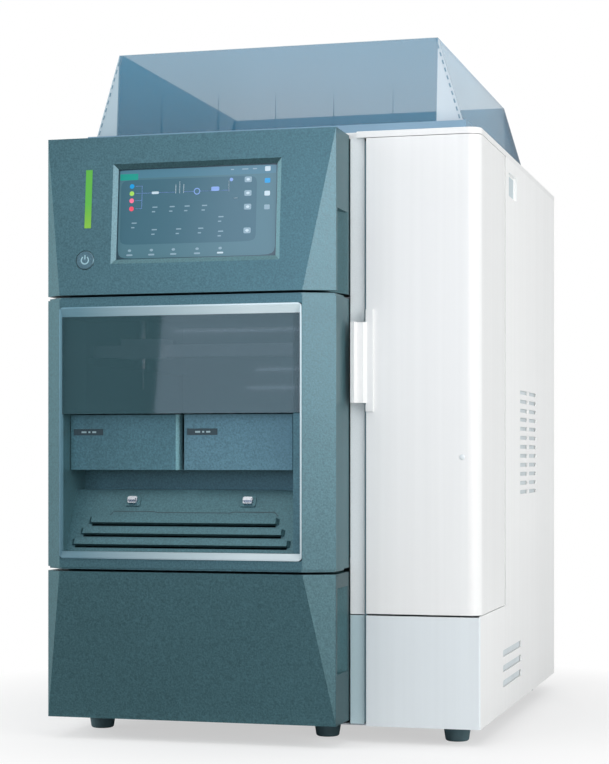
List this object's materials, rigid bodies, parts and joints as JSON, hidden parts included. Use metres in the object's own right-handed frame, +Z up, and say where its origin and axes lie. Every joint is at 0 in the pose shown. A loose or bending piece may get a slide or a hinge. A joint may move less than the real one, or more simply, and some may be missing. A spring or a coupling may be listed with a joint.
{
  "type": "hplc system",
  "caption": "Bench liquid chromatograph: faceted dark front with touch display and sample drawers, white column oven door, guarded reservoir tray on top.",
  "frame": {"origin": "on the bench under the middle of the bounding box", "axes": "+Z up, front towards -Y, +X to the right of someone facing the front"},
  "size_m": [0.41, 0.572, 0.666],
  "materials": {
    "dark_panel": "dark metallic blue-grey paint with a fine grain",
    "white_panel": "cool white satin paint",
    "bright_trim": "satin anodised aluminium",
    "smoked_glass": "smoked polished window",
    "display_black": "dark glass front in a black housing",
    "status_green": "green light bar",
    "button_dark": "satin dark button",
    "clear_guard": "blue-tinted clear plastic sheet",
    "rubber_black": "matte black rubber",
    "sheet_steel": "grey coated sheet steel",
    "dark_moulding": "black moulded plastic",
    "machined_steel": "turned stainless steel",
    "machined_aluminium": "milled aluminium",
    "unit_grey": "light grey coated metal",
    "circuit_green": "green circuit board"
  },
  "bodies": {
    "cabinet": {"sampler_fascia": "dark_panel", "louvre_panel": "dark_panel", "left_side_panel": "white_panel", "right_side_panel": "white_panel", "rear_panel": "white_panel", "top_cover": "white_panel", "lower_right_panel": "white_panel", "reservoir_tray": "white_panel", "trim_strip_upper": "bright_trim", "trim_strip_lower": "bright_trim", "sampler_bezel": "bright_trim", "sampler_window": "smoked_glass", "guard_front": "clear_guard", "guard_rear": "clear_guard", "guard_left": "clear_guard", "guard_right": "clear_guard", "front_feet": "rubber_black", "rear_feet": "rubber_black", "oven_gasket": "rubber_black", "base_pan": "sheet_steel", "centre_partition": "sheet_steel", "sampler_shelf": "sheet_steel", "upper_tray": "sheet_steel", "oven_shelf": "sheet_steel", "hinge_plates": "sheet_steel", "drawer_bed": "sheet_steel", "sampler_tub": "dark_moulding", "fan_frame": "dark_moulding", "mains_inlet": "dark_moulding", "oven_liner": "dark_moulding", "drain_port": "dark_moulding", "left_pump_head": "machined_steel", "right_pump_head": "machined_steel", "injection_valve": "machined_steel", "column": "machined_steel", "mixer": "machined_steel", "pump_block": "machined_aluminium", "heater_block": "machined_aluminium", "degasser": "unit_grey", "detector_housing": "unit_grey", "power_supply": "unit_grey", "main_board": "circuit_green"},
    "upper_door": {"upper_door": "dark_panel", "touch_display": "display_black", "status_light": "status_green"},
    "power_button": {"power_button": "button_dark"},
    "lower_door": {"lower_door": "dark_panel"},
    "oven_door": {"oven_door": "white_panel", "oven_door_handle": "white_panel"},
    "left_drawer": {"left_drawer": "dark_panel", "left_rack": "dark_moulding"},
    "right_drawer": {"right_drawer": "dark_panel", "right_rack": "dark_moulding"},
    "left_latch": {"left_latch": "machined_steel"},
    "right_latch": {"right_latch": "machined_steel"},
    "purge_knob": {"purge_knob": "dark_moulding"},
    "fan_rotor": {"fan_rotor": "dark_moulding"},
    "needle_gantry": {"needle_gantry": "machined_aluminium"},
    "needle_carriage": {"needle_carriage": "machined_aluminium"},
    "needle": {"needle": "machined_steel"}
  },
  "joints": [
    {"name": "upper_door_hinge", "type": "hinge", "parent": "cabinet", "child": "upper_door", "pos_m": [-0.198, -0.228, 0.496], "axis": [0, 0, -1], "range_deg": [0, 95]},
    {"name": "lower_door_hinge", "type": "hinge", "parent": "cabinet", "child": "lower_door", "pos_m": [-0.198, -0.228, 0.091], "axis": [0, 0, -1], "range_deg": [0, 95]},
    {"name": "oven_door_hinge", "type": "hinge", "parent": "cabinet", "child": "oven_door", "pos_m": [0.199, -0.084, 0.346], "axis": [0, 0, 1], "range_deg": [0, 100]},
    {"name": "left_drawer_slide", "type": "slide", "parent": "cabinet", "child": "left_drawer", "axis": [0, -1, 0], "range_m": [0, 0.15]},
    {"name": "right_drawer_slide", "type": "slide", "parent": "cabinet", "child": "right_drawer", "axis": [0, -1, 0], "range_m": [0, 0.15]},
    {"name": "power_button_press", "type": "slide", "parent": "upper_door", "child": "power_button", "axis": [0, 0.9966, -0.0828], "range_m": [0, 0.0015], "stiffness_N_per_m": 400},
    {"name": "left_latch_turn", "type": "hinge", "parent": "cabinet", "child": "left_latch", "pos_m": [-0.126, -0.2505, 0.227], "axis": [0, -0.8944, 0.4472], "range_deg": [0, 90]},
    {"name": "right_latch_turn", "type": "hinge", "parent": "cabinet", "child": "right_latch", "pos_m": [-0.011, -0.2505, 0.227], "axis": [0, -0.8944, 0.4472], "range_deg": [0, 90]},
    {"name": "purge_knob_turn", "type": "hinge", "parent": "cabinet", "child": "purge_knob", "pos_m": [0.003, -0.1845, 0.0995], "axis": [0, -1, 0], "range_deg": [0, 180]},
    {"name": "fan_spin", "type": "hinge", "parent": "cabinet", "child": "fan_rotor", "pos_m": [-0.085, 0.264, 0.416], "axis": [0, 1, 0], "continuous": true},
    {"name": "gantry_slide", "type": "slide", "parent": "cabinet", "child": "needle_gantry", "axis": [0, 1, 0], "range_m": [0, 0.2]},
    {"name": "carriage_slide", "type": "slide", "parent": "needle_gantry", "child": "needle_carriage", "axis": [1, 0, 0], "range_m": [0, 0.13]},
    {"name": "needle_drop", "type": "slide", "parent": "needle_carriage", "child": "needle", "axis": [0, 0, -1], "range_m": [0, 0.018]}
  ]
}
